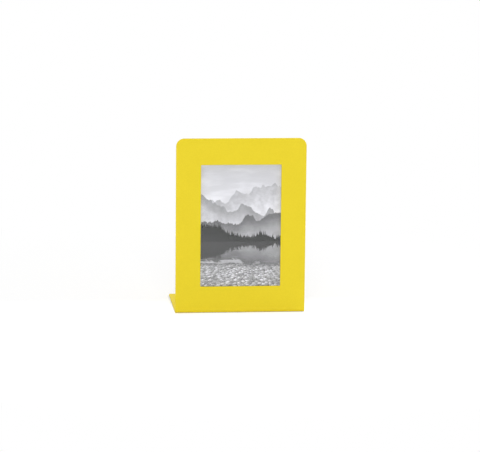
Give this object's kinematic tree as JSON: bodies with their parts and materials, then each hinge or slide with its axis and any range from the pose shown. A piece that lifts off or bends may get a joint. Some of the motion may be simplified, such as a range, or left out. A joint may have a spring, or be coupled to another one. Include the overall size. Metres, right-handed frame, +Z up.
{
  "type": "picture frame",
  "caption": "Tabletop picture frame bent from one yellow steel sheet, with a portrait window, clear glass, a slide-in print pack and swivel buttons behind.",
  "frame": {"origin": "middle of the footprint, on the surface that the foot pads rest on", "axes": "+X to the right of someone facing the picture, +Y to the back, +Z up"},
  "size_m": [0.154, 0.104, 0.2098],
  "materials": {
    "yellow_powder_coat": "smooth satin powder coat on steel",
    "clear_glass": "clear float glass with ground edges",
    "printed_paper": "resin-coated photographic paper with a greyscale print",
    "hardboard": "brown pressed hardboard, screen side to the back",
    "zinc_plate": "bright zinc plate on steel",
    "nylon": "natural nylon",
    "pad_foam": "black closed-cell foam rubber"
  },
  "bodies": {
    "frame": {"frame_sheet": "yellow_powder_coat", "left_rail": "yellow_powder_coat", "right_rail": "yellow_powder_coat", "bottom_rail": "yellow_powder_coat", "rivet_lower_left": "zinc_plate", "rivet_lower_right": "zinc_plate", "rivet_upper_left": "zinc_plate", "rivet_upper_right": "zinc_plate", "washer_lower_left": "nylon", "washer_lower_right": "nylon", "washer_upper_left": "nylon", "washer_upper_right": "nylon", "foot_pad_front_left": "pad_foam", "foot_pad_front_right": "pad_foam", "foot_pad_rear_left": "pad_foam", "foot_pad_rear_right": "pad_foam"},
    "glazing": {"glazing": "clear_glass"},
    "print": {"print_insert": "printed_paper"},
    "backing": {"backing_board": "hardboard"},
    "button_lower_left": {"turn_button_lower_left": "zinc_plate"},
    "button_lower_right": {"turn_button_lower_right": "zinc_plate"},
    "button_upper_left": {"turn_button_upper_left": "zinc_plate"},
    "button_upper_right": {"turn_button_upper_right": "zinc_plate"}
  },
  "joints": [
    {"name": "glazing_slide", "type": "slide", "parent": "frame", "child": "glazing", "axis": [0, 0, 1], "range_m": [0, 0.145]},
    {"name": "print_slide", "type": "slide", "parent": "frame", "child": "print", "axis": [0, 0, 1], "range_m": [0, 0.145]},
    {"name": "backing_slide", "type": "slide", "parent": "frame", "child": "backing", "axis": [0, 0, 1], "range_m": [0, 0.145]},
    {"name": "button_swivel_lower_left", "type": "hinge", "parent": "frame", "child": "button_lower_left", "pos_m": [-0.0564, -0.045, 0.0572], "axis": [0, 1, 0], "continuous": true},
    {"name": "button_swivel_lower_right", "type": "hinge", "parent": "frame", "child": "button_lower_right", "pos_m": [0.0564, -0.045, 0.0572], "axis": [0, 1, 0], "continuous": true},
    {"name": "button_swivel_upper_left", "type": "hinge", "parent": "frame", "child": "button_upper_left", "pos_m": [-0.0564, -0.045, 0.1536], "axis": [0, 1, 0], "continuous": true},
    {"name": "button_swivel_upper_right", "type": "hinge", "parent": "frame", "child": "button_upper_right", "pos_m": [0.0564, -0.045, 0.1536], "axis": [0, 1, 0], "continuous": true}
  ]
}
